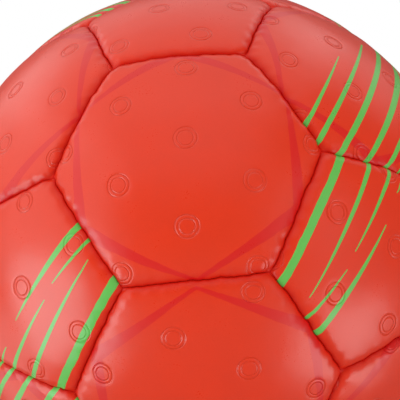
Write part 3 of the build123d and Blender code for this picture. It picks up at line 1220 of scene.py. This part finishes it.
LAMPS = (
    Lamp("left_box", (-0.84, -0.49, -0.25), (0.64, 0.62), 5.9, tint=(0.8, 0.98, 1.0)),
    Lamp("left_wall", (-0.8, -0.4, 0.4), (1.0, 0.8), 2.5),
    Lamp("left_back", (-0.75, 0.35, 0.55), (0.6, 0.6), 0.75),
    Lamp("lower_left_back", (-0.9, 0.12, -0.44), (0.5, 0.5), 0.9),
    Lamp("lower_right_box", (0.72, -0.44, -0.53), (0.6, 0.46), 2.8),
    Lamp("top_box", (-0.1, 0.15, 1.0), (2.0, 1.6), 6.4),
    Lamp("right_back", (0.65, 0.35, 0.68), (0.6, 0.6), 0.65),
    Lamp("left_fill", (-1.0, 0.0, -0.2), (0.6, 0.6), 1.1, mirrored=False),
    Lamp("right_fill", (0.85, -0.75, 0.15), (0.6, 0.6), 2.9, mirrored=False),
    Lamp("front_fill", (0.05, -0.9, 1.0), (1.2, 0.9), 7.3, mirrored=False),
)


class HANDBALL_OT_stage(bpy.types.Operator):
    """Builds the floor, the lamps, the world and the camera"""

    bl_idname = "handball.stage"
    bl_label = "Stage"

    def execute(self, context):
        scene = context.scene
        scene.view_settings.view_transform = "Standard"
        self.add_floor(scene)
        self.add_world(scene)
        for lamp in LAMPS:
            self.add_lamp(scene, lamp)
        self.add_camera(scene)
        return {"FINISHED"}

    def add_floor(self, scene):
        mesh = bpy.data.meshes.new("floor")
        half, level = FLOOR_HALF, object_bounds()[0][2]
        mesh.from_pydata(
            [(-half, -half, level), (half, -half, level), (half, half, level), (-half, half, level)],
            [], [(0, 1, 2, 3)],
        )
        floor = bpy.data.objects.new("floor", mesh)
        scene.collection.objects.link(floor)
        mesh.materials.append(self.floor_material(scene.handball_colours.floor_pale))
        floor.visible_shadow = floor.visible_glossy = False
        floor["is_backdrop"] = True

    def floor_material(self, pale):
        """Matt and pale, and white to the camera at a distance."""
        material, tree, shader = new_material("floor_matt", roughness=0.9)
        cloud = grain(tree, FLOOR_CLOUD, seed=1.0) * 0.2 + 0.5
        tone = mixed(tree, cloud, tuple(pale), shaded(pale, 0.98))
        plug(tree, tone, shader.inputs["Base Color"])
        far = add_node(
            tree, "ShaderNodeVectorMath", {"operation": "LENGTH"},
            Vector=tree.nodes.new("ShaderNodeTexCoord").outputs["Object"],
        )
        faded = ((Field(tree, far.outputs["Value"]) - FADE_START) / FADE_REACH).held()
        seen = Field(tree, tree.nodes.new("ShaderNodeLightPath").outputs["Is Camera Ray"])
        glow = add_node(tree, "ShaderNodeEmission", Strength=1.0)
        blend = add_node(tree, "ShaderNodeMixShader")
        output = next(node for node in tree.nodes if node.type == "OUTPUT_MATERIAL")
        plug(tree, faded * seen, blend.inputs[0])
        plug(tree, shader.outputs[0], blend.inputs[1])
        plug(tree, glow.outputs[0], blend.inputs[2])
        plug(tree, blend.outputs[0], output.inputs["Surface"])
        return material

    def add_world(self, scene):
        world = bpy.data.worlds.new("studio")
        world.use_nodes = True
        tree = world.node_tree
        background = next(node for node in tree.nodes if node.type == "BACKGROUND")
        path = tree.nodes.new("ShaderNodeLightPath")
        seen = Field(tree, path.outputs["Is Camera Ray"])
        glossy = Field(tree, path.outputs["Is Glossy Ray"])
        around_ball = glossy * ROOM_MIRRORED + ROOM_LIGHT
        plug(tree, seen + (1.0 - seen) * around_ball, background.inputs["Strength"])
        background.inputs["Color"].default_value = (1.0, 1.0, 1.0, 1.0)
        scene.world = world

    def add_lamp(self, scene, lamp):
        light = bpy.data.lights.new(lamp.name, "AREA")
        light.shape = "RECTANGLE"
        light.size, light.size_y = lamp.size
        light.energy = lamp.power
        light.color = lamp.tint
        holder = bpy.data.objects.new(lamp.name, light)
        away = unit(lamp.place)
        side = unit(np.cross((0.0, 1.0, 0.0) if abs(away[2]) > 0.9 else (0.0, 0.0, 1.0), away))
        up = np.cross(away, side)
        holder.matrix_world = Matrix(
            [[side[i], up[i], away[i], lamp.place[i]] for i in range(3)] + [[0, 0, 0, 1]]
        )
        holder.visible_glossy = lamp.mirrored
        scene.collection.objects.link(holder)

    def add_camera(self, scene):
        camera = bpy.data.cameras.new("photo_camera")
        camera.lens, camera.sensor_width = CAMERA_LENS, CAMERA_SENSOR
        camera.clip_start = CAMERA_NEAREST
        holder = bpy.data.objects.new("photo_camera", camera)
        flat = math.cos(CAMERA_ELEVATION)
        x, y = flat * math.sin(CAMERA_AZIMUTH), -flat * math.cos(CAMERA_AZIMUTH)
        holder.matrix_world = (
            Matrix.Translation(np.array((x, y, math.sin(CAMERA_ELEVATION))) * CAMERA_RANGE)
            @ Matrix.Rotation(CAMERA_YAW, 4, "Z")
            @ Matrix.Rotation(math.pi / 2 - CAMERA_PITCH, 4, "X")
            @ Matrix.Rotation(CAMERA_ROLL, 4, "Z")
        )
        scene.collection.objects.link(holder)
        scene.camera = holder


OPERATORS = (
    HANDBALL_OT_hexagon_covers,
    HANDBALL_OT_pentagon_covers,
    HANDBALL_OT_valve_cover,
    HANDBALL_OT_seam_stitches,
    HANDBALL_OT_linings,
    HANDBALL_OT_bladder,
    HANDBALL_OT_valve,
    HANDBALL_OT_stage,
)


class HANDBALL_PT_sidebar(bpy.types.Panel):
    """Shows the ball's sizes and colours and lists the steps that build it"""

    bl_idname = "HANDBALL_PT_sidebar"
    bl_label = "Handball"
    bl_space_type = "VIEW_3D"
    bl_region_type = "UI"
    bl_category = "Handball"

    def draw(self, context):
        for group in (context.scene.handball_sizes, context.scene.handball_colours):
            box = self.layout.box()
            for name in group.__annotations__:
                box.prop(group, name)
        for operator in OPERATORS:
            self.layout.operator(operator.bl_idname)


CLASSES = (HandballSizes, HandballColours, *OPERATORS, HANDBALL_PT_sidebar)


def register():
    for cls in CLASSES:
        bpy.utils.register_class(cls)
    bpy.types.Scene.handball_sizes = bpy.props.PointerProperty(type=HandballSizes)
    bpy.types.Scene.handball_colours = bpy.props.PointerProperty(type=HandballColours)


def unregister():
    del bpy.types.Scene.handball_sizes, bpy.types.Scene.handball_colours
    for cls in reversed(CLASSES):
        bpy.utils.unregister_class(cls)


def main():
    register()
    bpy.ops.handball.hexagon_covers()
    bpy.ops.handball.pentagon_covers()
    bpy.ops.handball.valve_cover()
    bpy.ops.handball.seam_stitches()
    bpy.ops.handball.linings()
    bpy.ops.handball.bladder()
    bpy.ops.handball.valve()
    bpy.ops.handball.stage()


if __name__ == "__main__":
    main()
